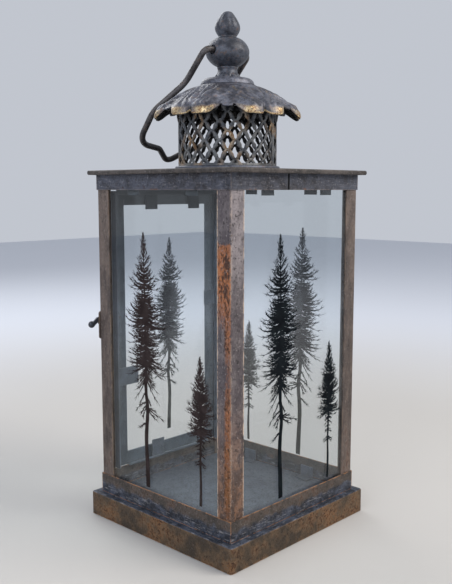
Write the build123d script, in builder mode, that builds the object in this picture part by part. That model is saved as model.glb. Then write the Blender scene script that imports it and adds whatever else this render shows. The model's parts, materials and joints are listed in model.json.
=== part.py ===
from build123d import *
import os
from math import cos, sin, radians, hypot

# Square garden lantern: sheet-metal frame, glass panes, hinged door, pierced chimney and bail.
# Frame: millimetres, +Z up, origin at the centre of the base on the surface it stands on.
# -Y is the front, +Y the door side, -X the left and +X the right.
os.makedirs("parts", exist_ok=True)

# ---------------------------------------------------------------- driving dimensions
sheet = 1.0                  # thickness of the base, post, door and roof sheet
thin_sheet = 0.6             # thickness of the two wrapped bands
spring_strip = 0.8           # thickness of the bent glass tabs

plinth_half = 75.0           # half width of the stepped base
plinth_height = 17.6
plinth_hem = 8.0             # in-turned hem that the lantern stands on
plinth_corner_radius = 2.2
plinth_edge_radius = 0.9

band_half = 69.0             # outside of the curb and of the top band
curb_top = 32.5
top_band_bottom = 250.7
band_seam_x = -12.2          # open butt seam of the top band on the front
band_seam_width = 0.8

post_half = 68.4             # outside faces of the four corner posts
post_flange = 12.4
post_edge_radius = 0.8

plate_half = 74.4            # overhanging top plate
plate_bottom = 261.7
plate_top = 264.9
plate_hem = 3.0
plate_corner_radius = 2.6
plate_edge_radius = 1.1
vent_radius = 33.0           # hole in the top plate under the chimney

glass_thickness = 2.0
glass_outside = 67.3         # outer face of the fixed panes, measured from the axis
glass_width = 130.0
glass_bottom = 18.2
glass_top = 258.0
tab_width = 12.0
tab_play = 0.1               # air between a pane and the tab behind it
upper_tab_tip = 247.0
lower_tab_tip = 27.0
tab_foot_inside = 57.0       # how far in the tab's foot reaches, measured from the axis

door_left = -55.2            # free edge of the door
door_right = 53.7            # hinge edge of the door
door_bottom = 33.5
door_top = 249.9
door_border = 10.8           # face width of the stiles and rails
door_return = 5.5            # depth of the frame's folded edge

hinge_x = 55.0               # vertical hinge axis on the door side
hinge_y = 70.3
barrel_radius = 1.9
hinge_pin_radius = 1.1
leaf_thickness = 0.9
leaf_reach = 10.5            # from the hinge axis to the leaf's free edge
hinge_spans = {"lower": (50.4, 72.4), "upper": (211.6, 233.6)}

latch_pivot = (-50.0, 153.0)     # x, z of the latch rivet on the free stile
keeper_pin = (-65.0, 151.2)      # x, z of the keeper pin on the post

collar_radius = 36.4
collar_top = 316.3
flange_radius = 38.9         # pressed ring round the foot of the chimney
flange_height = 3.1
flange_edge_radius = 1.4
flange_play = 0.05           # slip fit between the pressed ring and the chimney
lattice_columns = 20
lattice_first_row = 278.6    # height of the lowest full row of diamonds
lattice_rows = 5
lattice_half_width = 5.72    # half a diamond from strand centre to strand centre
lattice_half_height = 6.66
strand = 1.8

roof_crown = 326.6
rim_notch_angle = 43.7       # one of the six notches between the petals of the rim
cap_top = 331.5
foot_top = 340.2
ball_top = 360.6
bud_tip = 379.5
rod_radius = 2.5
rod_hole_radius = 2.6

bail_axis_z = 350.8
bail_rest_angle = 47.0       # the bail rests this far below horizontal, over the door
wire_radius = 2.3
bail_bore_radius = 2.38
bail_end_x = 6.0             # the wire's ends inside the finial ball
bore_end_gap = 0.6           # air beyond each end of the wire
socket_radius = 3.4          # wider mouth of each bore
socket_depth = 4.0
socket_start = 18.0          # the bores are cut inward from here, outside the ball

# ---------------------------------------------------------------- derived values
post_top = plate_top - sheet
glass_inside = glass_outside - glass_thickness
door_face = post_half        # the door lies in the plane of the post flanges
door_back = door_face - sheet


def save(piece, name):
    """Label one finished piece and write its STEP file."""
    piece.part.label = name
    export_step(piece.part, f"parts/{name}.step")


def back_plane(y):
    """Sketch plane at depth y whose local axes are X and Z; a negative extrude goes to +Y."""
    return Plane.XZ.offset(-y)


def side_plane(angle, station):
    """Section plane of one side: local x is outward, local y is up, the normal runs along the side."""
    outward = Vector(cos(radians(angle)), sin(radians(angle)), 0)
    along = Vector(sin(radians(angle)), -cos(radians(angle)), 0)
    return Plane(origin=along * station, x_dir=outward, z_dir=along)


def block(x_range, y_range, z_range):
    """Rectangular block over three ranges, added to the part being built."""
    ranges = (x_range, y_range, z_range)
    with Locations(tuple(sum(span) / 2 for span in ranges)):
        Box(*(max(span) - min(span) for span in ranges))


# ---------------------------------------------------------------- base
def make_base_tray():
    """Stamped inverted tray: skirt, ledge and floor in one sheet, with an in-turned hem."""
    with BuildPart() as tray:
        with BuildSketch():
            RectangleRounded(2 * plinth_half, 2 * plinth_half, plinth_corner_radius)
        extrude(amount=plinth_height)
        fillet(tray.faces().sort_by(Axis.Z)[-1].edges(), plinth_edge_radius)
        with BuildSketch(Plane.XY.offset(sheet)):
            Rectangle(2 * (plinth_half - sheet), 2 * (plinth_half - sheet))
        extrude(amount=plinth_height - 2 * sheet, mode=Mode.SUBTRACT)
        with BuildSketch():
            Rectangle(2 * (plinth_half - plinth_hem), 2 * (plinth_half - plinth_hem))
        extrude(amount=sheet, mode=Mode.SUBTRACT)
    return tray


def make_band(bottom, top):
    """Square band of thin sheet wrapped round the outside of the four posts."""
    with BuildPart() as band:
        with BuildSketch(Plane.XY.offset(bottom)):
            Rectangle(2 * band_half, 2 * band_half)
            Rectangle(2 * post_half, 2 * post_half, mode=Mode.SUBTRACT)
        extrude(amount=top - bottom)
    return band


save(make_base_tray(), "base_tray")
save(make_band(plinth_height, curb_top), "curb_band")

with BuildPart() as top_band:
    add(make_band(top_band_bottom, post_top).part)
    with BuildSketch(Plane.XZ.offset(band_half)):
        with Locations((band_seam_x, (top_band_bottom + post_top) / 2)):
            Rectangle(band_seam_width, post_top - top_band_bottom)
    extrude(amount=-thin_sheet, mode=Mode.SUBTRACT)
save(top_band, "top_band")


# ---------------------------------------------------------------- rivets on the door side
rivet_radius = 0.8
rivet_head_radius = 1.5
rivet_head_height = 0.6
rivet_head_taper = 20.0
rivet_inset = 4.0            # from a leaf's end to its rivet
rivet_reach = 7.4            # from the hinge axis to the rivets
post_rivet_x = hinge_x + rivet_reach
door_rivet_x = hinge_x - rivet_reach
keeper_x_range = (-69.2, -57.4)
keeper_z_range = (138.0, 159.4)
keeper_rivet_x = -61.8
keeper_rivet_z = (141.0, 157.0)
drill_length = 5.0


def hinge_rivet_heights():
    """Heights of the two rivets of every hinge leaf."""
    return [z for low, high in hinge_spans.values() for z in (low + rivet_inset, high - rivet_inset)]


def drill_back(points, radius):
    """Cut round holes along Y, at the given X and Z, through the sheet on the door side."""
    with Locations(*[(x, door_face, z) for x, z in points]):
        Cylinder(radius, drill_length, rotation=(90, 0, 0), mode=Mode.SUBTRACT)


# ---------------------------------------------------------------- corner posts
def make_post(side_x, side_y, holes):
    """Right-angle post of folded sheet, from the base to the top plate."""
    with BuildPart() as post:
        with BuildSketch(Plane.XY.offset(plinth_height)):
            with Locations((side_x * (post_half - post_flange / 2), side_y * (post_half - sheet / 2))):
                Rectangle(post_flange, sheet)
            with Locations((side_x * (post_half - sheet / 2), side_y * (post_half - post_flange / 2))):
                Rectangle(sheet, post_flange)
        extrude(amount=post_top - plinth_height)
        outer_edge = post.edges().filter_by(Axis.Z).sort_by(lambda e: hypot(e.center().X, e.center().Y))[-1]
        fillet(outer_edge, post_edge_radius)
        if holes:
            drill_back(holes, rivet_radius)
    return post


hinge_post_holes = [(post_rivet_x, z) for z in hinge_rivet_heights()]
keeper_post_holes = [(keeper_rivet_x, z) for z in keeper_rivet_z]
save(make_post(-1, -1, []), "post_front_left")
save(make_post(1, -1, []), "post_front_right")
save(make_post(-1, 1, keeper_post_holes), "post_back_left")
save(make_post(1, 1, hinge_post_holes), "post_back_right")


# ---------------------------------------------------------------- fixed panes and their tabs
def make_pane(angle):
    """Glass pane standing behind the post flanges of one side."""
    with BuildPart() as pane:
        with BuildSketch(side_plane(angle, -glass_width / 2)):
            with Locations((glass_outside - glass_thickness / 2, (glass_bottom + glass_top) / 2)):
                Rectangle(glass_thickness, glass_top - glass_bottom)
        extrude(amount=glass_width)
    return pane


def make_pane_tabs(angle, stations):
    """Bent strips that hold a pane against the posts, at the top and at the bottom."""
    leg_outside = glass_inside - tab_play
    with BuildPart() as tabs:
        for station in stations:
            for foot_z, tip_z in ((post_top, upper_tab_tip), (plinth_height, lower_tab_tip)):
                rise = 1 if tip_z > foot_z else -1
                with BuildSketch(side_plane(angle, station - tab_width / 2)):
                    with Locations((leg_outside - spring_strip / 2, (foot_z + tip_z) / 2)):
                        Rectangle(spring_strip, abs(tip_z - foot_z))
                    foot_centre = (tab_foot_inside + leg_outside) / 2
                    with Locations((foot_centre, foot_z + rise * spring_strip / 2)):
                        Rectangle(leg_outside - tab_foot_inside, spring_strip)
                extrude(amount=tab_width)
    return tabs


pane_sides = {"front": (-90, (-33.6, 30.0)), "left": (180, (-30.0, 30.0)), "right": (0, (-35.0, 27.0))}
for side_name, (side_angle, tab_stations) in pane_sides.items():
    save(make_pane(side_angle), f"glass_{side_name}")
    save(make_pane_tabs(side_angle, tab_stations), f"glass_tabs_{side_name}")


# ---------------------------------------------------------------- top plate
with BuildPart() as top_plate:
    with BuildSketch(Plane.XY.offset(plate_bottom)):
        RectangleRounded(2 * plate_half, 2 * plate_half, plate_corner_radius)
    extrude(amount=plate_top - plate_bottom)
    fillet(top_plate.faces().sort_by(Axis.Z)[-1].edges(), plate_edge_radius)
    fillet(top_plate.faces().sort_by(Axis.Z)[0].edges(), plate_edge_radius)
    with BuildSketch(Plane.XY.offset(plate_bottom)):
        Rectangle(2 * (plate_half - plate_hem), 2 * (plate_half - plate_hem))
    extrude(amount=plate_top - plate_bottom - sheet, mode=Mode.SUBTRACT)
    with BuildSketch(Plane.XY.offset(plate_bottom)):
        Circle(vent_radius)
    extrude(amount=plate_top - plate_bottom, mode=Mode.SUBTRACT)
save(top_plate, "top_plate")


stop_face = 62.2             # the door stop's outer face, just inside the folded edge of the door
stop_bottom = 247.0
stop_flange = 8.0
stop_half_width = 55.0
with BuildPart() as door_stop:
    block((-stop_half_width, stop_half_width), (stop_face - spring_strip, stop_face), (stop_bottom, post_top))
    block((-stop_half_width, stop_half_width), (stop_face - stop_flange, stop_face),
          (post_top - spring_strip, post_top))
save(door_stop, "door_stop")


# ---------------------------------------------------------------- chimney
collar_inside = collar_radius - sheet

with BuildPart() as collar_flange:
    with BuildSketch(Plane.XY.offset(plate_top)):
        Circle(flange_radius)
        Circle(collar_radius + flange_play, mode=Mode.SUBTRACT)
    extrude(amount=flange_height)
    top_circles = collar_flange.edges().filter_by(GeomType.CIRCLE).sort_by(Axis.Z)[-2:]
    fillet(top_circles.sort_by(SortBy.RADIUS)[-1], flange_edge_radius)
save(collar_flange, "collar_flange")


def lattice_planes(offset_columns):
    """Sketch planes of one row of cells, every second row turned by half a cell."""
    pitch = 360 / lattice_columns
    planes = []
    for column in range(lattice_columns):
        angle = radians(rim_notch_angle + 180 + (column + offset_columns) * pitch)
        outward = Vector(cos(angle), sin(angle), 0)
        planes.append(Plane(origin=outward * (collar_radius + 1), x_dir=Vector(-sin(angle), cos(angle), 0),
                            z_dir=outward))
    return planes


def make_vent_collar():
    """Pierced tube: staggered rows of diamonds over a row of half diamonds."""
    corner = hypot(lattice_half_width, lattice_half_height)
    shrink = 1 - (strand / 2) * corner / (lattice_half_width * lattice_half_height)
    half_w = lattice_half_width * shrink
    half_h = lattice_half_height * shrink
    rows = [(lattice_first_row - lattice_half_height, 0, 0)]
    for row in range(lattice_rows):
        rows.append((lattice_first_row + row * lattice_half_height, 0.5 * ((row + 1) % 2), half_h))
    with BuildPart() as collar:
        with BuildSketch(Plane.XY.offset(plate_top)):
            Circle(collar_radius)
            Circle(collar_inside, mode=Mode.SUBTRACT)
        extrude(amount=collar_top - plate_top)
        for height, column_shift, depth in rows:
            outline = [(-half_w, height), (0, height + half_h), (half_w, height)]
            if depth:
                outline.append((0, height - depth))
            with BuildSketch(*lattice_planes(column_shift)):
                Polygon(*outline, align=None)
            extrude(amount=-(sheet + 2), mode=Mode.SUBTRACT)
    return collar


save(make_vent_collar(), "vent_collar")

strap_top = 315.2
strap_thickness = 1.5
strap_leg = 8.0
strap_width = 12.0
strap_leg_thickness = 2.2
with BuildPart() as roof_strap:
    with BuildSketch(Plane.XY.offset(strap_top - strap_leg)):
        Circle(collar_inside)
        Rectangle(2 * collar_inside, strap_width, mode=Mode.INTERSECT)
    extrude(amount=strap_leg)
    with BuildSketch(Plane.XY.offset(strap_top - strap_leg)):
        Rectangle(2 * (collar_inside - strap_leg_thickness), strap_width)
    extrude(amount=strap_leg - strap_thickness, mode=Mode.SUBTRACT)
    with BuildSketch(Plane.XY.offset(strap_top)):
        Circle(rod_hole_radius)
    extrude(amount=-strap_thickness, mode=Mode.SUBTRACT)
save(roof_strap, "roof_strap")


# ---------------------------------------------------------------- roof
petal_count = 6
notch_reach = 54.8           # circles that cut the notches and the shallower waists of the petals
notch_cut_radius = 4.6
waist_reach = 54.2
waist_cut_radius = 2.6
rim_cut_bottom = 295.0       # the cutters start below the rim
roof_profile = [(19.4, roof_crown), (27.6, 322.8), (34.0, 319.4), (39.5, 316.0), (44.0, 312.4),
                (48.2, 308.6), (51.0, 305.8), (52.4, 303.2)]
with BuildPart() as roof:
    with BuildSketch(Plane.XZ):
        with BuildLine():
            inner_profile = [(r - 0.6 * sheet, z - sheet) for r, z in roof_profile[:-1]]
            inner_profile.append((roof_profile[-1][0] - sheet, roof_profile[-1][1]))
            Line((rod_hole_radius, roof_crown), roof_profile[0])
            Spline(*roof_profile)
            Line(roof_profile[-1], inner_profile[-1])
            Spline(*inner_profile)
            Line(inner_profile[0], (rod_hole_radius, roof_crown - sheet))
            Line((rod_hole_radius, roof_crown - sheet), (rod_hole_radius, roof_crown))
        make_face()
    revolve(axis=Axis.Z)
    with BuildSketch(Plane.XY.offset(rim_cut_bottom)):
        with PolarLocations(notch_reach, petal_count, start_angle=rim_notch_angle):
            Circle(notch_cut_radius)
        with PolarLocations(waist_reach, petal_count, start_angle=rim_notch_angle + 180 / petal_count):
            Circle(waist_cut_radius)
    extrude(amount=roof_crown - rim_cut_bottom, mode=Mode.SUBTRACT)
save(roof, "roof")

with BuildPart() as roof_cap:
    with BuildSketch(Plane.XZ):
        with BuildLine():
            Polyline((15.2, cap_top), (rod_hole_radius, cap_top), (rod_hole_radius, roof_crown),
                     (19.8, roof_crown))
            Spline((19.8, roof_crown), (18.6, 329.6), (15.2, cap_top), tangents=[(-0.2, 1), (-1, 0)])
        make_face()
    revolve(axis=Axis.Z)
save(roof_cap, "roof_cap")


# ---------------------------------------------------------------- finial
with BuildPart() as finial_foot:
    with BuildSketch(Plane.XZ):
        with BuildLine():
            Polyline((7.0, foot_top), (rod_hole_radius, foot_top), (rod_hole_radius, cap_top), (9.4, cap_top))
            Spline((9.4, cap_top), (9.2, 333.2), (7.5, 336.0), (7.0, foot_top))
        make_face()
    revolve(axis=Axis.Z)
save(finial_foot, "finial_foot")

with BuildPart() as finial_ball:
    with BuildSketch(Plane.XZ):
        with BuildLine():
            Polyline((6.3, ball_top), (rod_hole_radius, ball_top), (rod_hole_radius, foot_top), (7.6, foot_top))
            Spline((7.6, foot_top), (13.2, 344.0), (16.0, 349.8), (13.6, 356.4), (6.3, ball_top))
        make_face()
    revolve(axis=Axis.Z)
    for side in (-1, 1):
        with BuildSketch(Plane.YZ.offset(side * socket_start)):
            with Locations((0, bail_axis_z)):
                Circle(bail_bore_radius)
        extrude(amount=-side * (socket_start - bail_end_x + bore_end_gap), mode=Mode.SUBTRACT)
        with BuildSketch(Plane.YZ.offset(side * socket_start)):
            with Locations((0, bail_axis_z)):
                Circle(socket_radius)
        extrude(amount=-side * socket_depth, mode=Mode.SUBTRACT)
save(finial_ball, "finial_ball")

rod_top = 370.0
with BuildPart() as finial_bud:
    with BuildSketch(Plane.XZ):
        with BuildLine():
            Polyline((0, bud_tip), (0, rod_top), (rod_radius, rod_top), (rod_radius, ball_top), (6.3, ball_top))
            Spline((6.3, ball_top), (9.2, 367.3), (6.6, 374.0), (2.4, 378.8), (0, bud_tip),
                   tangents=[(0, 1), (-1, 0)])
        make_face()
    revolve(axis=Axis.Z)
save(finial_bud, "finial_bud")

rod_bottom = 308.0
rod_end_chamfer = 0.5
with BuildPart() as tie_rod:
    with BuildSketch(Plane.XY.offset(rod_bottom)):
        Circle(rod_radius)
    extrude(amount=rod_top - rod_bottom)
    chamfer(tie_rod.faces().sort_by(Axis.Z)[0].edges(), rod_end_chamfer)
save(tie_rod, "tie_rod")

washer_thickness = 0.7
washer_radius = 5.5
washer_top = strap_top - strap_thickness
with BuildPart() as tie_washer:
    with BuildSketch(Plane.XY.offset(washer_top - washer_thickness)):
        Circle(washer_radius)
        Circle(rod_hole_radius, mode=Mode.SUBTRACT)
    extrude(amount=washer_thickness)
save(tie_washer, "tie_washer")

nut_height = 4.0
nut_across_flats = 8.0
with BuildPart() as tie_nut:
    with BuildSketch(Plane.XY.offset(washer_top - washer_thickness - nut_height)):
        RegularPolygon(radius=nut_across_flats / 2, side_count=6, major_radius=False)
        Circle(rod_radius, mode=Mode.SUBTRACT)
    extrude(amount=nut_height)
save(tie_nut, "tie_nut")


# ---------------------------------------------------------------- bail
bail_plane = Plane(origin=(0, 0, bail_axis_z), x_dir=(1, 0, 0),
                   z_dir=(0, sin(radians(bail_rest_angle)), cos(radians(bail_rest_angle))))
bail_side = [(bail_end_x, 0), (22.8, 0), (22.8, 30.5), (37.8, 58.0), (35.0, 88.2)]
bail_radii = [4.6, 24.0, 17.0, 15.0]
hump = [(-11.0, 93.0), (4.2, 105.8), (19.4, 93.0)]   # bent a little off centre
hump_radii = [9.0, 7.2, 9.0]
bail_points = [(-x, reach) for x, reach in bail_side] + hump + bail_side[::-1]
with BuildPart() as bail_handle:
    with BuildLine(bail_plane) as bail_path:
        FilletPolyline(*bail_points, radius=bail_radii + hump_radii + bail_radii[::-1])
    with BuildSketch(bail_path.line ^ 0):
        Circle(wire_radius)
    sweep()
save(bail_handle, "bail_handle")


# ---------------------------------------------------------------- door
def make_stile(edge_x, inward, holes, hole_radius):
    """Upright of the door frame: a face strip with its outer edge folded inward."""
    with BuildPart() as stile:
        block(sorted((edge_x, edge_x + inward * door_border)), (door_back, door_face), (door_bottom, door_top))
        block(sorted((edge_x, edge_x + inward * sheet)), (door_face - door_return, door_face),
              (door_bottom, door_top))
        drill_back(holes, hole_radius)
    return stile


def make_rail(edge_z, inward):
    """Cross strip of the door frame between the two stiles, folded like them."""
    x_range = (door_left + door_border, door_right - door_border)
    with BuildPart() as rail:
        block(x_range, (door_back, door_face), sorted((edge_z, edge_z + inward * door_border)))
        block(x_range, (door_face - door_return, door_face), sorted((edge_z, edge_z + inward * sheet)))
    return rail


latch_shank_radius = 1.2
door_rivet_points = [(door_rivet_x, z) for z in hinge_rivet_heights()]
save(make_stile(door_right, -1, door_rivet_points, rivet_radius), "door_stile_hinge")
save(make_stile(door_left, 1, [latch_pivot], latch_shank_radius), "door_stile_latch")
save(make_rail(door_top, -1), "door_rail_top")
save(make_rail(door_bottom, 1), "door_rail_bottom")

door_glass_back = glass_inside
pane_margin = sheet + 0.3    # folded edge of the door plus the play round its pane
with BuildPart() as door_glass:
    block((door_left + pane_margin, door_right - pane_margin), (door_glass_back, glass_outside),
          (door_bottom + pane_margin, door_top - pane_margin))
save(door_glass, "door_glass")

door_tab_back = door_glass_back - tab_play - spring_strip
door_tabs_top_x = (-18.0, 28.0)
door_tab_bottom_x = -14.0
door_tab_tip_high = 235.6
door_tab_tip_low = 48.0
latch_side_tab = (-34.0, (99.0, 113.0))      # its free edge in x, its span in z
hinge_side_tab = (40.0, (153.5, 166.0))
with BuildPart() as door_glass_tabs:
    for tab_x in door_tabs_top_x:
        block((tab_x - tab_width / 2, tab_x + tab_width / 2), (door_tab_back, door_tab_back + spring_strip),
              (door_tab_tip_high, door_top - sheet))
    block((door_tab_bottom_x - tab_width / 2, door_tab_bottom_x + tab_width / 2),
          (door_tab_back, door_tab_back + spring_strip), (door_bottom + sheet, door_tab_tip_low))
    block((door_left + sheet, latch_side_tab[0]), (door_tab_back, door_tab_back + spring_strip),
          latch_side_tab[1])
    block((hinge_side_tab[0], door_right - sheet), (door_tab_back, door_tab_back + spring_strip),
          hinge_side_tab[1])
save(door_glass_tabs, "door_glass_tabs")


# ---------------------------------------------------------------- hinges
knuckle_gap = 0.3
turning_play = 0.06          # round the pin, in the leaf that turns
fixed_play = 0.03            # round the pin, in the leaf that stays
barrel_relief = 0.4
pin_head_radius = 1.7
pin_head_height = 0.7


def make_leaf(side, span, with_middle):
    """Hinge leaf: a plate with the middle knuckle, or a plate with the two outer knuckles."""
    low, high = span
    third = (high - low) / 3
    middle = (low + third + knuckle_gap / 2, high - third - knuckle_gap / 2)
    outer = [(low, low + third - knuckle_gap / 2), (high - third + knuckle_gap / 2, high)]
    own = [middle] if with_middle else outer
    bore = hinge_pin_radius + (turning_play if with_middle else fixed_play)
    relief = barrel_radius + barrel_relief
    with BuildPart() as leaf:
        block(sorted((hinge_x + side * relief, hinge_x + side * leaf_reach)),
              (door_face, door_face + leaf_thickness), (low, high))
        for z_low, z_high in own:
            block(sorted((hinge_x, hinge_x + side * relief)), (door_face, door_face + leaf_thickness),
                  (z_low, z_high))
            with BuildSketch(Plane.XY.offset(z_low)):
                with Locations((hinge_x, hinge_y)):
                    Circle(barrel_radius)
            extrude(amount=z_high - z_low)
        with BuildSketch(Plane.XY.offset(low)):
            with Locations((hinge_x, hinge_y)):
                Circle(bore)
        extrude(amount=high - low, mode=Mode.SUBTRACT)
        rivet_x = post_rivet_x if side > 0 else door_rivet_x
        drill_back([(rivet_x, low + rivet_inset), (rivet_x, high - rivet_inset)], rivet_radius)
    return leaf


def make_hinge_pin(span):
    """Plain hinge pin with a small head above and below the barrel."""
    with BuildPart() as pin:
        with BuildSketch(Plane.XY.offset(span[0] - pin_head_height)):
            with Locations((hinge_x, hinge_y)):
                Circle(pin_head_radius)
        extrude(amount=pin_head_height)
        with BuildSketch(Plane.XY.offset(span[0])):
            with Locations((hinge_x, hinge_y)):
                Circle(hinge_pin_radius)
        extrude(amount=span[1] - span[0])
        with BuildSketch(Plane.XY.offset(span[1])):
            with Locations((hinge_x, hinge_y)):
                Circle(pin_head_radius)
        extrude(amount=pin_head_height)
    return pin


def make_rivets(points, head_base):
    """Group of separate rivets: shanks through leaf and sheet, low heads on the outside."""
    with BuildPart() as rivets:
        with BuildSketch(back_plane(door_back)):
            with Locations(*points):
                Circle(rivet_radius)
        extrude(amount=-(head_base - door_back))
        with BuildSketch(back_plane(head_base)):
            with Locations(*points):
                Circle(rivet_head_radius)
        extrude(amount=-rivet_head_height, taper=rivet_head_taper)
    return rivets


for level, hinge_span in hinge_spans.items():
    save(make_leaf(1, hinge_span, False), f"hinge_{level}_post_leaf")
    save(make_leaf(-1, hinge_span, True), f"hinge_{level}_door_leaf")
    save(make_hinge_pin(hinge_span), f"hinge_{level}_pin")
save(make_rivets(hinge_post_holes, door_face + leaf_thickness), "hinge_rivets_post")
save(make_rivets(door_rivet_points, door_face + leaf_thickness), "hinge_rivets_door")


# ---------------------------------------------------------------- latch
keeper_face = door_face + sheet
keeper_corner_radius = 2.0
keeper_pin_radius = 1.2
keeper_pin_length = 3.6
hook_gap = 0.1               # air in front of and behind the hook on its rivet
hook_back = keeper_face + rivet_head_height + 0.35
hook_thickness = 1.4
hook_front = hook_back + hook_thickness

with BuildPart() as latch_keeper:
    block(keeper_x_range, (door_face, keeper_face), keeper_z_range)
    fillet(latch_keeper.edges().filter_by(Axis.Y), keeper_corner_radius)
    drill_back(keeper_post_holes, rivet_radius)
save(latch_keeper, "latch_keeper")
save(make_rivets(keeper_post_holes, keeper_face), "keeper_rivets")

with BuildPart() as latch_keeper_pin:
    with BuildSketch(back_plane(keeper_face)):
        with Locations(keeper_pin):
            Circle(keeper_pin_radius)
    extrude(amount=-keeper_pin_length)
save(latch_keeper_pin, "latch_keeper_pin")

latch_shoulder_radius = 2.3
latch_head_radius = 2.4
latch_head_height = 1.0
latch_head_taper = 15.0
with BuildPart() as latch_rivet:
    with BuildSketch(back_plane(door_back)):
        with Locations(latch_pivot):
            Circle(latch_shank_radius)
    extrude(amount=-(hook_front + hook_gap - door_back))
    with BuildSketch(back_plane(door_face)):
        with Locations(latch_pivot):
            Circle(latch_shoulder_radius)
    extrude(amount=-(hook_back - hook_gap - door_face))
    with BuildSketch(back_plane(hook_front + hook_gap)):
        with Locations(latch_pivot):
            Circle(latch_head_radius)
    extrude(amount=-latch_head_height, taper=latch_head_taper)
save(latch_rivet, "latch_rivet")

knob_centre = (-73.2, 72.8, 149.2)
knob_radius = 2.6
pivot_play = 0.08
boss_radius = 3.4            # the hook's end round the rivet
eye_radius = 3.5             # the hook's end round the keeper pin
pin_clearance = 0.45
slot_lean = 13.0             # degrees; the slot follows the pin's path out of the eye
slot_length = 6.0
slot_centre = (keeper_pin[0] + slot_length / 2 * sin(radians(slot_lean)),
               keeper_pin[1] - slot_length / 2 * cos(radians(slot_lean)))
with BuildPart() as latch_hook:
    with BuildSketch(back_plane(hook_back)):
        with Locations(latch_pivot):
            Circle(boss_radius)
        with BuildLine():
            Polyline((latch_pivot[0], 155.4), (-64.0, 154.8), (-64.0, 150.6), (latch_pivot[0], 150.8),
                     (latch_pivot[0], 155.4))
        make_face()
        with Locations(keeper_pin):
            Circle(eye_radius)
        with BuildLine():
            Polyline((-64.6, 155.0), (-69.4, 154.4), (-74.0, 150.6), (-72.4, 148.2), (-68.2, 151.4),
                     (-64.6, 151.4), (-64.6, 155.0))
        make_face()
        with Locations(slot_centre):
            Rectangle(2 * (keeper_pin_radius + pin_clearance), slot_length, rotation=slot_lean,
                      mode=Mode.SUBTRACT)
        with Locations(keeper_pin):
            Circle(keeper_pin_radius + pin_clearance, mode=Mode.SUBTRACT)
        with Locations(latch_pivot):
            Circle(latch_shank_radius + pivot_play, mode=Mode.SUBTRACT)
    extrude(amount=-hook_thickness)
    with Locations(knob_centre):
        Sphere(knob_radius)
save(latch_hook, "latch_hook")
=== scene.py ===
"""Looks of a square garden lantern: aged sheet metal, printed glass, pierced chimney, scalloped roof.

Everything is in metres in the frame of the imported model: +Z up, -Y the front pane, +Y the door.
Shapes are written in millimetres and scaled by MM.
"""
import json
import math
import random

import bpy
from mathutils import Matrix, Vector, noise
from mathutils.bvhtree import BVHTree


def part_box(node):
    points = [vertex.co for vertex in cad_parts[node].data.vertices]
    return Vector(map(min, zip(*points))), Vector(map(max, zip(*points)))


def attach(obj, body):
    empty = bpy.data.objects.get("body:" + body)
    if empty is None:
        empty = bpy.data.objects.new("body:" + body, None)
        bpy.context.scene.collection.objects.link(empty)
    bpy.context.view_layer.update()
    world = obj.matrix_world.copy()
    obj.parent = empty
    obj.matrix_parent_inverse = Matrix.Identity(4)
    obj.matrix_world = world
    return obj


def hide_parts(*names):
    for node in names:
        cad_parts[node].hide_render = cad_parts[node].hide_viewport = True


MM = 0.001
TAU = 2 * math.pi

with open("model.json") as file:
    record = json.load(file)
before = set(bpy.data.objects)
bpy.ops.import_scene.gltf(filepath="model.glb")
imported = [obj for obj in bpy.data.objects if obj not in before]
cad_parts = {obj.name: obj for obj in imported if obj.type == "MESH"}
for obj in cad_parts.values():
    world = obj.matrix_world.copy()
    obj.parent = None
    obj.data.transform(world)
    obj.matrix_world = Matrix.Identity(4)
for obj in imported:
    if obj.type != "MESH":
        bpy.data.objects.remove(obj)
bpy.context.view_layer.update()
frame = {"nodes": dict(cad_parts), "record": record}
nodes = frame["nodes"]


# ---------------------------------------------------------------- small helpers
def srgb(code):
    """Linear RGBA of a #rrggbb colour."""
    channels = [int(code[i:i + 2], 16) / 255 for i in (1, 3, 5)]
    linear = [c / 12.92 if c <= 0.04045 else ((c + 0.055) / 1.055) ** 2.4 for c in channels]
    return (*linear, 1.0)


def smoothstep(low, high, value):
    """0 up to low, 1 from high on, and a smooth change between them."""
    t = min(1.0, max(0.0, (value - low) / (high - low)))
    return t * t * (3 - 2 * t)


def blend_points(a, b, share):
    """Point on the way from a to b."""
    return tuple(p + (q - p) * share for p, q in zip(a, b))


def catmull(points, per_span):
    """Smooth curve through 2-D points, as a list with per_span steps to each span."""
    padded = [points[0]] + list(points) + [points[-1]]
    curve = []
    for i in range(len(points) - 1):
        p0, p1, p2, p3 = padded[i:i + 4]
        for step in range(per_span):
            t = step / per_span
            curve.append(tuple(
                0.5 * (2 * b + (c - a) * t + (2 * a - 5 * b + 4 * c - d) * t * t
                       + (3 * b - a - 3 * c + d) * t ** 3)
                for a, b, c, d in zip(p0, p1, p2, p3)))
    curve.append(tuple(points[-1]))
    return curve


def make_piece(name, points_mm, faces, material, body, smooth=True):
    """Mesh object from points in millimetres, riding on a body."""
    mesh = bpy.data.meshes.new(name)
    mesh.from_pydata([Vector(p) * MM for p in points_mm], [], faces)
    mesh.polygons.foreach_set("use_smooth", [smooth] * len(mesh.polygons))
    mesh.materials.append(material)
    mesh.validate()
    piece = bpy.data.objects.new(name, mesh)
    bpy.context.scene.collection.objects.link(piece)
    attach(piece, body)
    return piece


def ring_faces(rings, count, closed_rings):
    """Quads between rings of count points; the rings themselves may also close into a loop."""
    faces = []
    for i in range(rings if closed_rings else rings - 1):
        j = (i + 1) % rings
        for k in range(count):
            m = (k + 1) % count
            faces.append((i * count + k, i * count + m, j * count + m, j * count + k))
    return faces


# ---------------------------------------------------------------- places on the lantern, in metres
base_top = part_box("base_tray")[1].z
band_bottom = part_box("top_band")[0].z
post_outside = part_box("post_front_right")[1].x
front_side = -0.0600         # points further forward than this belong to the front of the lantern
band_seam_x = -0.0122        # the open butt seam of the top band
band_seam_half = 0.0009      # half the width of the seam and of the painted shade in it
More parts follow.
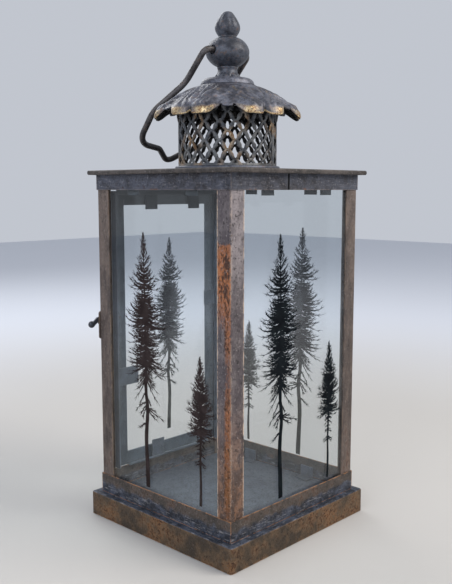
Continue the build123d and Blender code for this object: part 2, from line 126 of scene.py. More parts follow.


# ---------------------------------------------------------------- material graphs
class Graph:
    """Short names for building one material's node tree around a Principled shader."""

    def __init__(self, name):
        self.material = bpy.data.materials.new(name)
        self.material.use_nodes = True
        self.tree = self.material.node_tree
        self.tree.nodes.clear()
        self.output = self.node("ShaderNodeOutputMaterial")
        self.shader = self.node("ShaderNodeBsdfPrincipled")
        self.tree.links.new(self.shader.outputs[0], self.output.inputs["Surface"])
        self.place = self.node("ShaderNodeTexCoord").outputs["Object"]

    def node(self, kind, **settings):
        made = self.tree.nodes.new(kind)
        for key, value in settings.items():
            setattr(made, key, value)
        return made

    def feed(self, socket, value):
        if isinstance(value, bpy.types.NodeSocket):
            self.tree.links.new(value, socket)
        else:
            socket.default_value = value

    def set(self, **values):
        """Set or link inputs of the Principled shader, with underscores for spaces."""
        for key, value in values.items():
            self.feed(self.shader.inputs[key.replace("_", " ")], value)

    def calc(self, operation, a, b=0.0, clamp=False):
        made = self.node("ShaderNodeMath", operation=operation, use_clamp=clamp)
        self.feed(made.inputs[0], a)
        self.feed(made.inputs[1], b)
        return made.outputs[0]

    def step(self, value, low, high, out_low=0.0, out_high=1.0):
        """Smooth change from out_low to out_high as value goes from low to high."""
        made = self.node("ShaderNodeMapRange", interpolation_type="SMOOTHSTEP")
        for socket, amount in zip(made.inputs[:5], (value, low, high, out_low, out_high)):
            self.feed(socket, amount)
        return made.outputs[0]

    def mix(self, share, a, b, blend="MIX"):
        made = self.node("ShaderNodeMix", data_type="RGBA", blend_type=blend)
        self.feed(made.inputs["Factor"], share)
        self.feed(made.inputs["A"], a)
        self.feed(made.inputs["B"], b)
        return made.outputs["Result"]

    def stretched(self, scale):
        made = self.node("ShaderNodeMapping")
        self.feed(made.inputs["Vector"], self.place)
        made.inputs["Scale"].default_value = scale
        return made.outputs[0]

    def noise(self, scale, detail=3.0, roughness=0.55, place=None, distortion=0.0):
        made = self.node("ShaderNodeTexNoise")
        self.feed(made.inputs["Vector"], place or self.place)
        made.inputs["Scale"].default_value = scale
        made.inputs["Detail"].default_value = detail
        made.inputs["Roughness"].default_value = roughness
        made.inputs["Distortion"].default_value = distortion
        return made.outputs["Fac"]

    def axis(self, name):
        """One coordinate of the point in metres: X, Y or Z."""
        made = self.node("ShaderNodeSeparateXYZ")
        self.feed(made.inputs[0], self.place)
        return made.outputs[name]

    def facing(self, name):
        """One component of the surface normal: X, Y or Z."""
        made = self.node("ShaderNodeSeparateXYZ")
        self.feed(made.inputs[0], self.node("ShaderNodeNewGeometry").outputs["Normal"])
        return made.outputs[name]

    def outward(self):
        """How much the surface faces away from the vertical axis, from -1 to 1."""
        flat = self.node("ShaderNodeVectorMath", operation="MULTIPLY")
        self.feed(flat.inputs[0], self.place)
        flat.inputs[1].default_value = (1, 1, 0)
        away = self.node("ShaderNodeVectorMath", operation="NORMALIZE")
        self.feed(away.inputs[0], flat.outputs[0])
        dot = self.node("ShaderNodeVectorMath", operation="DOT_PRODUCT")
        self.feed(dot.inputs[0], away.outputs[0])
        self.feed(dot.inputs[1], self.node("ShaderNodeNewGeometry").outputs["Normal"])
        return dot.outputs["Value"]

    def edges(self, radius):
        """1 at sharp edges and 0 on flat faces, from how much a rounded normal would turn."""
        rounded = self.node("ShaderNodeBevel", samples=6)
        rounded.inputs["Radius"].default_value = radius
        dot = self.node("ShaderNodeVectorMath", operation="DOT_PRODUCT")
        self.feed(dot.inputs[0], rounded.outputs[0])
        self.feed(dot.inputs[1], self.node("ShaderNodeNewGeometry").outputs["Normal"])
        return self.step(dot.outputs["Value"], 0.999, 0.90)

    def attribute(self, name):
        return self.node("ShaderNodeAttribute", attribute_name=name).outputs["Fac"]

    def bump(self, height, strength, distance):
        made = self.node("ShaderNodeBump")
        self.feed(made.inputs["Height"], height)
        made.inputs["Strength"].default_value = strength
        made.inputs["Distance"].default_value = distance
        return made.outputs[0]


def both(g, a, b, share=0.5):
    """Weighted sum of two noises."""
    return g.calc("ADD", g.calc("MULTIPLY", a, share), g.calc("MULTIPLY", b, 1 - share))


def aged_metal(name, paint, shade, copper, amount, where=None, cover=None, edge="#a07a58", edge_share=0.75,
               edge_radius=0.0011, grain=(1, 1, 1), speckle=(0.55, 0.30), painted_shade=None):
    """Antiqued sheet: two mottled paints, copper rubbed through, sponged specks and worn edges, where a pale
    edge colour also paints a highlight.

    where(g) adds to the copper by place, cover(g, colour, middle) may paint over the result, and
    the last function, called with (g, colour), paints shade over everything at the end.
    """
    g = Graph(name)
    place = g.stretched(grain)
    broad = g.noise(34, 5, 0.6, place)
    middle = g.noise(150, 6, 0.66, place)
    fine = g.noise(620, 4, 0.62, place)
    sponge = g.noise(620, 5, 0.72, None, 0.4)
    colour = g.mix(g.step(both(g, broad, middle), 0.40, 0.60), srgb(shade), srgb(paint))
    bias = amount if where is None else g.calc("ADD", where(g), amount)
    rubbed = g.step(g.calc("ADD", both(g, both(g, broad, middle), fine, 0.66), bias), 0.50, 0.63)
    copper_colour = g.mix(g.step(both(g, fine, middle), 0.45, 0.57), srgb(copper), srgb("#4d3122"))
    colour = g.mix(g.calc("MULTIPLY", rubbed, 0.92), colour, copper_colour)
    if cover:
        colour = cover(g, colour, middle)
    dark = g.step(sponge, 0.545, 0.625)
    light = g.step(g.noise(800, 4, 0.7), 0.58, 0.67)
    colour = g.mix(g.calc("MULTIPLY", dark, speckle[0]), colour, srgb("#1d1917"))
    colour = g.mix(g.calc("MULTIPLY", light, speckle[1]), colour, srgb("#b5aeab"))
    # Worn edges; with a pale edge colour this also paints a highlight along the corners.
    edge_wear_and_highlight = g.calc("MULTIPLY", g.edges(edge_radius), g.step(both(g, middle, fine), 0.42, 0.56))
    colour = g.mix(g.calc("MULTIPLY", edge_wear_and_highlight, edge_share), colour, srgb(edge))
    if painted_shade:
        colour = painted_shade(g, colour)
    g.set(Base_Color=colour, Metallic=g.step(g.calc("MAXIMUM", rubbed, edge_wear_and_highlight), 0.0, 1.0, 0.05, 0.40),
          Roughness=g.step(fine, 0.3, 0.7, 0.46, 0.70), Specular_IOR_Level=0.32,
          Normal=g.bump(g.calc("SUBTRACT", g.calc("ADD", middle, g.calc("MULTIPLY", fine, 0.6)),
                               g.calc("MULTIPLY", dark, 0.7)), 0.6, 0.0005))
    return g.material


def inner_metal():
    """Dull blue-grey painted sheet of the door frame and the tabs, with painted shade towards the top."""
    g = Graph("inner_metal")
    middle = g.noise(60, 5, 0.6)
    fine = g.noise(600, 4, 0.6)
    colour = g.mix(g.step(middle, 0.35, 0.66), srgb("#3a424b"), srgb("#545d69"))
    colour = g.mix(g.step(fine, 0.58, 0.72, 0.0, 0.5), colour, srgb("#22262a"))
    # Painted shade: darker towards the top, where the top plate keeps the light off.
    height = g.calc("ADD", g.axis("Z"), g.calc("MULTIPLY", middle, 0.012))
    painted_top_shade = g.step(height, band_bottom - 0.0227, band_bottom - 0.0007, 0.0, 0.78)
    colour = g.mix(painted_top_shade, colour, srgb("#161c1b"))
    edge_wear_and_highlight = g.calc("MULTIPLY", g.edges(0.0008), g.step(g.noise(200), 0.35, 0.6))
    colour = g.mix(g.calc("MULTIPLY", edge_wear_and_highlight, 0.40), colour, srgb("#83858a"))
    g.set(Base_Color=colour, Metallic=0.1, Roughness=g.step(middle, 0.3, 0.7, 0.42, 0.60),
          Specular_IOR_Level=0.4, Normal=g.bump(g.calc("ADD", fine, middle), 0.4, 0.0003))
    return g.material


def cast_metal(name, low, high, rub_and_highlight_name=None, rub_and_highlight_colour="#c9a878", shade_inside=False):
    """Dark gunmetal casting or pressing; mesh attributes may say where brass with a painted highlight shows,
    and where painted shade and soot darken it.
    """
    g = Graph(name)
    broad = g.noise(70, 5, 0.6)
    middle = g.noise(300, 5, 0.66)
    fine = g.noise(1000, 3, 0.6)
    colour = g.mix(g.step(both(g, broad, middle), 0.40, 0.60), srgb(low), srgb(high))
    colour = g.mix(g.step(middle, 0.56, 0.66, 0.0, 0.55), colour, srgb("#5f4736"))
    colour = g.mix(g.step(fine, 0.56, 0.68, 0.0, 0.6), colour, srgb("#121214"))
    metallic = 0.35
    if rub_and_highlight_name:
        # Brass where the rub attribute says; on the roof this includes a painted highlight along the rim's
        # lip.
        rub_and_highlight = g.calc("MULTIPLY", g.attribute(rub_and_highlight_name), g.step(middle, 0.28, 0.52))
        brass = g.mix(g.step(both(g, fine, middle), 0.42, 0.58), srgb(rub_and_highlight_colour), srgb("#7d5f42"))
        colour = g.mix(rub_and_highlight, colour, brass)
        # Darkened by the soot attribute: painted shade in the roof's creases and under it, soot on the
        # chimney.
        colour = g.mix(g.attribute("soot_and_shade"), colour, srgb("#0d0c0d"))
        metallic = g.step(rub_and_highlight, 0.0, 1.0, 0.30, 0.75)
    if shade_inside:
        # Painted shade: faces turned towards the axis, the inside of the chimney, are darkened almost to
        # black.
        inward_shade = g.step(g.outward(), 0.05, -0.25)
        colour = g.mix(g.calc("MULTIPLY", inward_shade, 0.9), colour, srgb("#0f0e0e"))
    g.set(Base_Color=colour, Metallic=metallic, Roughness=g.step(middle, 0.3, 0.7, 0.34, 0.54),
          Specular_IOR_Level=0.4,
          Normal=g.bump(g.calc("ADD", middle, g.calc("MULTIPLY", fine, 0.4)), 0.5, 0.00045))
    return g.material


pane_ior = 1.38              # under that of real glass, to keep the veil over the far trees thin


def pane_glass():
    """Clear glass with a trace of dust; it lets lamp light through."""
    g = Graph("pane_glass")
    dust = g.step(g.noise(45, 6, 0.7), 0.45, 0.85, 0.0, 0.012)
    g.set(Base_Color=srgb("#f0f3f4"), Transmission_Weight=1.0, IOR=pane_ior, Roughness=dust,
          Normal=g.bump(g.noise(14, 2, 0.5), 0.12, 0.0004))
    clear = g.node("ShaderNodeBsdfTransparent")
    clear.inputs["Color"].default_value = srgb("#eef2f3")
    shadow = g.node("ShaderNodeLightPath").outputs["Is Shadow Ray"]
    either = g.node("ShaderNodeMixShader")
    g.feed(either.inputs[0], shadow)
    g.feed(either.inputs[1], g.shader.outputs[0])
    g.feed(either.inputs[2], clear.outputs[0])
    g.feed(g.output.inputs["Surface"], either.outputs[0])
    return g.material


def tree_ink(name, dark, light):
    """Matt printing ink, thinner in places."""
    g = Graph(name)
    mottle = g.noise(160, 5, 0.65)
    g.set(Base_Color=g.mix(g.step(mottle, 0.35, 0.68), srgb(dark), srgb(light)),
          Roughness=g.step(mottle, 0.3, 0.7, 0.80, 0.95), Specular_IOR_Level=0.03,
          Normal=g.bump(g.noise(900), 0.2, 0.00005))
    return g.material


def near_post_rub(g):
    """Copper down the left face of the front left post: solid at first, then along the corner only."""
    on_left_face = g.step(g.facing("X"), -0.5, -0.8)
    height = g.calc("ADD", g.axis("Z"), g.calc("MULTIPLY", g.noise(260, 4), 0.010))
    below_start = g.step(height, band_bottom - 0.0272, band_bottom - 0.0312)
    solid = g.step(height, 0.128, 0.200)
    near_corner = g.step(g.axis("Y"), front_side, front_side - 0.0045)
    share = g.calc("MAXIMUM", g.calc("MULTIPLY", solid, 0.86), g.calc("MULTIPLY", near_corner, 0.74))
    return g.calc("MULTIPLY", g.calc("MULTIPLY", on_left_face, below_start),
                  g.calc("MULTIPLY", share, 0.236))


def post_rub(g):
    """A little more copper low on the posts."""
    return g.step(g.axis("Z"), 0.130, 0.040, 0.0, 0.055)


def band_lower_rub(g):
    """Patchy copper along the bottom edge of the top band."""
    low = g.step(g.axis("Z"), band_bottom + 0.0028, band_bottom + 0.0001)
    patch = g.step(g.noise(40, 2, 0.5), 0.54, 0.64)
    return g.calc("MULTIPLY", g.calc("MULTIPLY", low, patch), 0.14)


def band_streaks(g, colour, middle):
    """Pale brush streaks along the top band."""
    streak = g.step(along_sides(g, 700), 0.50, 0.72, 0.0, 0.28)
    return g.mix(streak, colour, srgb("#8b8a90"))


def seam_shade(g, colour):
    """Painted shade: black in and beside the open seam at the front of the top band, where the gap is in
    shadow.
    """
    from_seam = g.calc("ABSOLUTE", g.calc("SUBTRACT", g.axis("X"), band_seam_x))
    front = g.step(g.axis("Y"), front_side, front_side - 0.0040)
    # Painted shade: the seam is painted black where the gap lies in shadow.
    painted_shade = g.calc("MULTIPLY", g.step(from_seam, band_seam_half + 0.0003, band_seam_half), front)
    return g.mix(painted_shade, colour, srgb("#060606"))


def pale_top(g, colour, middle):
    """Pale scumble at the top of the near post's right face, brown low down on both faces."""
    right_face = g.step(g.facing("Y"), -0.5, -0.8)
    high = g.step(g.axis("Z"), 0.170, 0.228)
    pale = g.calc("MULTIPLY", g.calc("MULTIPLY", right_face, high), g.step(middle, 0.30, 0.62, 0.35, 0.85))
    colour = g.mix(pale, colour, srgb("#8e8687"))
    low = g.step(g.axis("Z"), 0.130, 0.045, 0.0, 0.62)
    return g.mix(low, colour, g.mix(g.step(middle, 0.42, 0.58), srgb("#48301b"), srgb("#805631")))


def along_sides(g, scale):
    """Noise drawn out along each side of the square lantern."""
    along_x = g.noise(scale, 4, 0.6, g.stretched((0.16, 1.2, 1.2)))
    along_y = g.noise(scale, 4, 0.6, g.stretched((1.2, 0.16, 1.2)))
    far_x = g.calc("ABSOLUTE", g.axis("X"))
    far_y = g.calc("ABSOLUTE", g.axis("Y"))
    on_x_side = g.step(g.calc("SUBTRACT", far_x, far_y), -0.0002, 0.0002)
    made = g.node("ShaderNodeMix", data_type="FLOAT")
    g.feed(made.inputs["Factor"], on_x_side)
    g.feed(made.inputs["A"], along_x)
    g.feed(made.inputs["B"], along_y)
    return made.outputs["Result"]


def navy_paint(g, colour, middle, share):
    """Blue-black paint with pale brush scratches, laid over the colour by share."""
    navy = g.mix(g.step(middle, 0.40, 0.62), srgb("#20252f"), srgb("#474e5c"))
    navy = g.mix(g.step(along_sides(g, 900), 0.55, 0.68, 0.0, 0.50), navy, srgb("#a7a5a6"))
    return g.mix(share, colour, navy)


def ledge_cover(g, colour, middle):
    """Top of the base: plain blue-grey inside the panes, scratched navy outside them."""
    up = g.step(g.facing("Z"), 0.55, 0.9)
    colour = navy_paint(g, colour, middle, up)
    reach = g.calc("MAXIMUM", g.calc("ABSOLUTE", g.axis("X")), g.calc("ABSOLUTE", g.axis("Y")))
    inside = g.calc("MULTIPLY", g.step(reach, post_outside + 0.0002, post_outside - 0.0002), up)
    floor_colour = g.mix(g.step(middle, 0.35, 0.65), srgb("#434a54"), srgb("#565d67"))
    return g.mix(inside, colour, floor_colour)


def curb_cover(g, colour, middle):
    """Lower half of the curb, where the navy of the ledge runs up."""
    edge = g.calc("ADD", g.axis("Z"), g.calc("MULTIPLY", g.noise(120, 3), -0.010))
    return navy_paint(g, colour, middle, g.step(edge, base_top + 0.0039, base_top + 0.0009, 0.0, 0.9))


base_paint = aged_metal("base_paint", "#64503a", "#3a3026", "#966338", 0.010, cover=ledge_cover,
                        edge="#b48a66", speckle=(0.6, 0.16))
curb_paint = aged_metal("curb_paint", "#564d46", "#3a3430", "#8e5a34", -0.010, cover=curb_cover,
                        edge="#b9845a", edge_share=0.9, speckle=(0.55, 0.25))
# The band's last layer paints shade black into its open seam.
band_paint = aged_metal("band_paint", "#474a54", "#2e2d31", "#8b5a38", -0.07, where=band_lower_rub,
                        cover=band_streaks, painted_shade=seam_shade,
                        edge="#8f8078", edge_share=0.6, speckle=(0.5, 0.34))
plate_paint = aged_metal("plate_paint", "#504a46", "#2f2b29", "#7c5a40", -0.06, edge="#97877a",
                         speckle=(0.6, 0.34))
post_paint = aged_metal("post_paint", "#6b5e56", "#453c38", "#91603f", -0.060, where=post_rub, edge="#94806f",
                        grain=(1, 1, 0.35), speckle=(0.6, 0.30))
# Painted highlight: the pale cream edge at full share and a wider radius paints the highlight along the
# post's corner, over its edge wear.
near_post_paint = aged_metal("near_post_paint", "#6f6767", "#4a4346", "#b57245", -0.075, where=near_post_rub,
                             cover=pale_top, edge="#dcc3ab", edge_share=1.0, edge_radius=0.0017,
                             grain=(1, 1, 0.55), speckle=(0.8, 0.42))
inside_paint = inner_metal()
roof_metal = cast_metal("roof_metal", "#3b3b42", "#686b76", "rub_and_highlight", "#dcc596")
cap_metal = cast_metal("cap_metal", "#474850", "#6f727d")
finial_metal = cast_metal("finial_metal", "#303239", "#545861")
wire_metal = cast_metal("wire_metal", "#3a3737", "#5a5757")
pierced_metal = cast_metal("pierced_metal", "#3c3f45", "#6c6d6c", "rub_and_highlight", "#a3937c", shade_inside=True)
flange_metal = cast_metal("flange_metal", "#3c3f48", "#646872")
hardware_metal = cast_metal("hardware_metal", "#22252a", "#41444c")
strap_metal = cast_metal("strap_metal", "#1a1a1b", "#2b2b2d")
glass_material = pane_glass()
ink_left = tree_ink("ink_left", "#2a2322", "#38302f")
ink_front = tree_ink("ink_front", "#0d1014", "#181d20")
ink_far = tree_ink("ink_far", "#0c1512", "#18231f")

node_paint = {
    "base_tray": base_paint, "curb_band": curb_paint, "top_band": band_paint, "top_plate": plate_paint,
    "post_front_left": near_post_paint, "post_front_right": post_paint, "post_back_left": post_paint,
    "post_back_right": post_paint, "collar_flange": flange_metal, "roof_strap": strap_metal,
    "finial_ball": finial_metal, "bail_handle": wire_metal, "latch_keeper": post_paint,
}
slot_paint = {"inner_frame": inside_paint, "pane": glass_material, "hardware": hardware_metal,
              "fixings": hardware_metal}
node_slot = {entry["node"]: entry["material_slot"] for entry in frame["record"]["subparts"]}
for node_name, node in nodes.items():
    paint = node_paint.get(node_name) or slot_paint.get(node_slot[node_name])
    if paint:
        node.data.materials.clear()
        node.data.materials.append(paint)


# ---------------------------------------------------------------- roof
notch_angle = 43.7           # degrees; the six petals of the rim meet at notches every 60 degrees
petal_angle = 60.0
half_petal = petal_angle / 2
lobe_centre = 17.5           # degrees from a notch to the middle of the lobe beside it
# radius and height in millimetres from the crown to the rim, through a lobe and through a notch
lobe_profile = [(2.7, 326.5), (12, 326.5), (19.6, 326.55), (23, 325.4), (27.6, 323.7), (33.6, 320.7),
                (39.1, 317.9), (43.7, 314.4), (47.4, 312.0), (50.9, 309.8), (52.8, 306.8), (53.5, 304.6),
                (53.7, 302.9)]
notch_profile = [(2.7, 326.5), (12, 326.5), (19.6, 326.55), (22.6, 325.2), (26.4, 323.2), (31.2, 320.2),
                 (36.0, 317.0), (40.2, 314.2), (43.8, 312.0), (46.6, 310.3), (48.4, 309.3), (49.0, 308.8),
                 (49.4, 308.3)]


def bell(value, centre, width):
    return math.exp(-(((value - centre) / width) ** 2))


def roof_point(angle, share, drop):
    """Point of the roof at an angle; share goes from 0 at the crown to 1 at the rim.

    Returns radius, height, how much brass and painted highlight show and how much painted shade darkens it.
    """
    spans = len(lobe_curve) - 1
    position = min(share * spans, spans - 1e-6)
    index = int(position)
    rest = position - index
    on_lobe = blend_points(lobe_curve[index], lobe_curve[index + 1], rest)
    on_notch = blend_points(notch_curve[index], notch_curve[index + 1], rest)
    aside = abs((angle - notch_angle + half_petal) % petal_angle - half_petal)
    lobe = smoothstep(5.5, 16.0, aside) * (1 - 0.40 * bell(aside, half_petal, 2.0))
    fade = smoothstep(0.22, 0.60, share)
    radius, height = blend_points(on_notch, on_lobe, 1 - fade * (1 - lobe))
    turn = math.radians(angle)
    place = Vector((radius * math.cos(turn), radius * math.sin(turn), height))
    dent = noise.noise(place * 0.15)
    warp = noise.noise(place * 0.07 + Vector((5, 5, 5)))
    near_rim = smoothstep(0.76, 0.92, share)
    lobe_swell = bell(aside, lobe_centre, 7.0)
    body = smoothstep(0.24, 0.40, share) * (1 - smoothstep(0.78, 0.86, share))
    vein = math.cos(aside / half_petal * 3.4 * TAU + 6.5 * math.sin(6.2 * share) + 7.0 * warp)
    vein = 0.65 * vein + 0.5 * noise.noise(place * 0.42)
    tab = bell(aside, 0, 3.0) * smoothstep(0.84, 1.0, share)
    slit = bell(aside, 5.4, 1.0) * smoothstep(0.88, 1.0, share)
    height += 0.72 * vein * body + 0.30 * dent * fade + 0.9 * slit - 0.5 * tab - drop
    height += 0.55 * lobe_swell * smoothstep(0.55, 0.80, share) * (1 - smoothstep(0.86, 1.0, share))
    radius += 1.5 * tab - 1.4 * slit
    radius += 0.7 * lobe_swell * near_rim - 0.9 * bell(aside, half_petal, 1.8) * near_rim
    # Brass rubbed through on the lobes and ridges; the pale line along the lip is a painted highlight on the
    # rim's edge.
    patch = bell(aside, lobe_centre + 4 * warp, 6.5) * smoothstep(0.80, 0.87, share)
    lip_highlight = smoothstep(0.955, 0.985, share) * smoothstep(8, 14, aside)
    ridge = smoothstep(0.45, 1.0, vein) * body * smoothstep(-0.1, 0.35, warp + 0.5 * dent)
    rub_and_highlight = max(patch * (1.0 + 0.5 * dent), lip_highlight, 0.42 * ridge)
    # Painted shade in the crease between the lobes near the rim and in the slit beside each notch; the
    # hollows of the veins are darkened too.
    soot_and_shade = max(0.85 * bell(aside, half_petal, 2.2) * near_rim, 0.9 * slit,
               0.55 * smoothstep(0.35, 1.0, -vein) * body)
    return radius, height, min(1.0, max(0.0, rub_and_highlight)), min(1.0, soot_and_shade * (1 - 0.8 * lip_highlight))


lobe_curve = catmull(lobe_profile, 6)
notch_curve = catmull(notch_profile, 6)


def add_layer(piece, name, values):
    """Store one value for each vertex, for the material to read by name."""
    layer = piece.data.attributes.new(name, "FLOAT", "POINT")
    layer.data.foreach_set("value", values)


bail_gap = 0.35              # air kept between the roof and the wire, at both ends of its swing
wire_reach = 3.0             # a point this near the wire's surface, on its inner side, is in the wire
dent_step = 0.05
deepest_dent = 4.0
bail_mesh = nodes["bail_handle"].data
bail_tree = BVHTree.FromPolygons([nodes["bail_handle"].matrix_world @ v.co for v in bail_mesh.vertices],
                                 [tuple(face.vertices) for face in bail_mesh.polygons])


def bail_relief(radius, height, turn):
    """How far the roof is dented at a point so that the wire clears it, in millimetres."""
    lowered = 0.0
    x, y = radius * math.cos(turn), radius * math.sin(turn)
    while lowered < deepest_dent:
        clear = True
        for side in (1, -1):
            place = Vector((x, side * y, height - lowered)) * MM
            near, normal, _, distance = bail_tree.find_nearest(place)
            inside = (place - near).dot(normal) < 0 and distance < wire_reach * MM
            if inside or distance < bail_gap * MM:
                clear = False
        if clear:
            return lowered
        lowered += dent_step
    return lowered


def make_roof():
    """Embossed sheet with a scalloped rim: the upper side, the rim's edge and the underside."""
    segments = 540
    steps = 80
    thickness = 0.9
    edge_inset = 0.55
    underside_inset = 0.5
    # The underside is darkened almost to black: painted shade under the roof.
    underside_shade = 0.93
    rows = [(step / steps, 0.0, 0.0) for step in range(steps + 1)]
    rows += [(1.0, thickness / 2, edge_inset)]
    rows += [(step / steps, thickness, underside_inset) for step in range(steps, -1, -1)]
    points, rubs_and_highlights, shades = [], [], []
    for share, drop, inset in rows:
        underneath = drop >= thickness
        for k in range(segments):
            angle = 360 * k / segments
            radius, height, rub_and_highlight, soot_and_shade = roof_point(angle, share, drop)
            turn = math.radians(angle)
            height -= bail_relief(radius, height + drop, turn)
            radius -= inset * smoothstep(0.1, 0.3, share)
            points.append((radius * math.cos(turn), radius * math.sin(turn), height))
            rubs_and_highlights.append(0.0 if underneath else rub_and_highlight)
            shades.append(underside_shade if underneath else soot_and_shade)
    roof = make_piece("roof_shell", points, ring_faces(len(rows), segments, True), roof_metal,
                      "lantern")
    add_layer(roof, "rub_and_highlight", rubs_and_highlights)
    add_layer(roof, "soot_and_shade", shades)
    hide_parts("roof")


make_roof()


# ---------------------------------------------------------------- pierced chimney
collar_low, collar_high = (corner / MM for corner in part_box("vent_collar"))
collar_radius = collar_high.x
lattice_columns = 20
lattice_node_rise = 6.66     # height from one row of crossings to the next
lattice_first_node = 271.9
lattice_rings = 6
strand_width = 2.30
strand_depth = 1.2
strand_softness = 0.35       # how far a strand's corners are cut back
lower_ring_top = 269.6
upper_ring_bottom = 310.8
ring_wall = 1.0
ring_softness = 0.3
seam_angle = 288.0           # degrees
seam_width = 3.2
seam_relief = 0.20           # how far the lapped seam stands out from the collar
seam_depth = 1.05


def collar_point(angle, height, radius):
    """Point at an angle in radians round the lantern's axis."""
    return (radius * math.cos(angle), radius * math.sin(angle), height)


def add_strand(points, faces, path, rounded):
    """Beaded bar bent round the collar along (angle, height, width factor) points."""
    half_w = strand_width / 2
    half_d = strand_depth / 2
    soft = strand_softness
    section = [(-half_w + soft, half_d), (half_w - soft, half_d), (half_w, half_d - soft),
               (half_w, soft - half_d), (half_w - soft, -half_d), (soft - half_w, -half_d),
               (-half_w, soft - half_d), (-half_w, half_d - soft)]
    centre_radius = collar_radius - half_d
    start = len(points)
    count = len(path)
    for i, (angle, height, beading) in enumerate(path):
        before = path[i - 1] if i else (path[-1][0] - TAU, path[-1][1])
        after = path[i + 1] if i + 1 < count else (path[0][0] + TAU, path[0][1])
        run = Vector(((after[0] - before[0]) * centre_radius, after[1] - before[1])).normalized()
        wobble = beading * (1 + rounded * noise.noise(Vector((angle * 9, height * 0.7, 3.1))))
        for across, outward in section:
            shift = across * wobble
            points.append(collar_point(angle - run.y * shift / centre_radius, height + run.x * shift,
                                       centre_radius + outward))
    for face in ring_faces(count, len(section), True):
        faces.append(tuple(index + start for index in face))


def make_collar():
    """Lattice of wavy beaded strands between two plain rings, with a lapped seam down one side."""
    points, faces = [], []
    per_wave = 32
    crossing_overlap = 0.15
    first_angle = math.radians(notch_angle + 180)
    for ring in range(-1, lattice_rings):
        middle = lattice_first_node + (ring + 0.5) * lattice_node_rise
        phase = 0.0 if ring % 2 else math.pi
        swing = lattice_node_rise / 2 - crossing_overlap
        path = []
        for k in range(lattice_columns * per_wave):
            turn = TAU * k / (lattice_columns * per_wave)
            wave = lattice_columns * turn + phase
            height = middle - swing * (math.cos(wave) - 0.05 * math.cos(3 * wave)) / 0.95
            beads = (0.5 - 0.5 * math.cos(2 * wave)) ** 4
            path.append((first_angle + turn, height, 0.86 + 0.46 * beads))
        add_strand(points, faces, path, 0.36)
    for low, high in ((collar_low.z, lower_ring_top), (upper_ring_bottom, collar_high.z)):
        start = len(points)
        profile = [(collar_radius - ring_wall, low), (collar_radius, low),
                   (collar_radius, high - ring_softness), (collar_radius - ring_softness, high),
                   (collar_radius - ring_wall, high)]
        segments = 160
        for radius, height in profile:
            for k in range(segments):
                points.append(collar_point(TAU * k / segments, height, radius))
        faces += [tuple(i + start for i in face) for face in ring_faces(len(profile), segments, True)]
    start = len(points)
    half_turn = seam_width / 2 / collar_radius
    corners = [(-half_turn, seam_relief), (half_turn, seam_relief), (half_turn, -seam_depth),
               (-half_turn, -seam_depth)]
    seam_steps = 24
    heights = [collar_low.z + (collar_high.z - collar_low.z) * i / seam_steps for i in range(seam_steps + 1)]
    for height in heights:
        for turn, out in corners:
            angle = math.radians(seam_angle) + turn + 0.004 * noise.noise(Vector((height * 0.2, turn, 0)))
            points.append(collar_point(angle, height, collar_radius + out))
    faces += [tuple(i + start for i in face) for face in ring_faces(len(heights), 4, False)]
    last = start + 4 * (len(heights) - 1)
    faces += [(start + 3, start + 2, start + 1, start), (last, last + 1, last + 2, last + 3)]
    collar = make_piece("pierced_chimney", points, faces, pierced_metal, "lantern")
    add_layer(collar, "rub_and_highlight", [smoothstep(0.05, 0.5, noise.noise(Vector(p) * 0.09)) for p in points])
    add_layer(collar, "soot_and_shade", [0.8 * smoothstep(-0.1, -0.5, noise.noise(Vector(p) * 0.11)) for p in points])
    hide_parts("vent_collar")


make_collar()


# ---------------------------------------------------------------- turned and fluted finial pieces
def make_turned(name, node_name, profile, shape, material):
    """Solid of revolution closed on the axis at both ends, with shape(angle, share) scaling the radius."""
    segments = 144
    curve = catmull(profile, 8)
    points = [(0, 0, curve[0][1])]
    inner = curve[1:-1]
    for i, (radius, height) in enumerate(inner):
        share = (i + 1) / (len(curve) - 1)
        for k in range(segments):
            angle = TAU * k / segments
            r = max(radius, 0.05) * shape(angle, share)
            points.append((r * math.cos(angle), r * math.sin(angle), height))
    points.append((0, 0, curve[-1][1]))
    faces = [(0, 1 + (k + 1) % segments, 1 + k) for k in range(segments)]
    faces += [tuple(i + 1 for i in face) for face in ring_faces(len(inner), segments, False)]
    top = len(points) - 1
    base = top - segments
    faces += [(base + k, base + (k + 1) % segments, top) for k in range(segments)]
    piece = make_piece(name, points, faces, material, "lantern")
    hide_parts(node_name)


def node_span(name):
    """Bottom and top of a CAD node in millimetres."""
    low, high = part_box(name)
    return low.z / MM, high.z / MM


cap_low, cap_high = node_span("roof_cap")
make_turned("smooth_cap", "roof_cap",
            [(0, cap_low), (19.2, cap_low), (19.75, cap_low + 0.05), (19.5, cap_low + 1.5),
             (18.8, cap_low + 3.0), (17.2, cap_low + 4.3), (15.0, cap_high), (9.0, cap_high),
             (0, cap_high)],
            lambda angle, share: 1 + 0.006 * math.sin(5 * angle + 1) * math.sin(math.pi * share),
            cap_metal)
foot_low, foot_high = node_span("finial_foot")


def foot_shape(angle, share):
    """Eight petals round the foot, with deep gaps between their tips."""
    gap = (1 - abs(math.cos(4 * angle))) ** 2
    return 1 - 0.24 * gap * (1 - smoothstep(0.30, 0.62, share))


make_turned("petalled_foot", "finial_foot",
            [(0, foot_low), (9.0, foot_low), (9.7, foot_low + 0.8), (9.1, foot_low + 2.2),
             (7.7, foot_low + 4.0), (7.1, foot_low + 6.0), (7.1, foot_high), (0, foot_high)],
            foot_shape, finial_metal)
bud_low, bud_high = node_span("finial_bud")


def bud_shape(angle, share):
    """Six shallow flutes, deepest at the middle of the bud."""
    return 1 - 0.05 * (0.5 + 0.5 * math.cos(6 * angle)) ** 3 * math.sin(math.pi * share)


make_turned("fluted_bud", "finial_bud",
            [(0, bud_low), (6.4, bud_low), (6.6, bud_low + 1.0), (8.2, bud_low + 3.4), (9.25, bud_low + 6.2),
             (8.9, bud_low + 9.4), (7.0, bud_low + 13.2), (4.8, bud_low + 16.4), (3.0, bud_high - 0.7),
             (0, bud_high)],
            bud_shape, finial_metal)


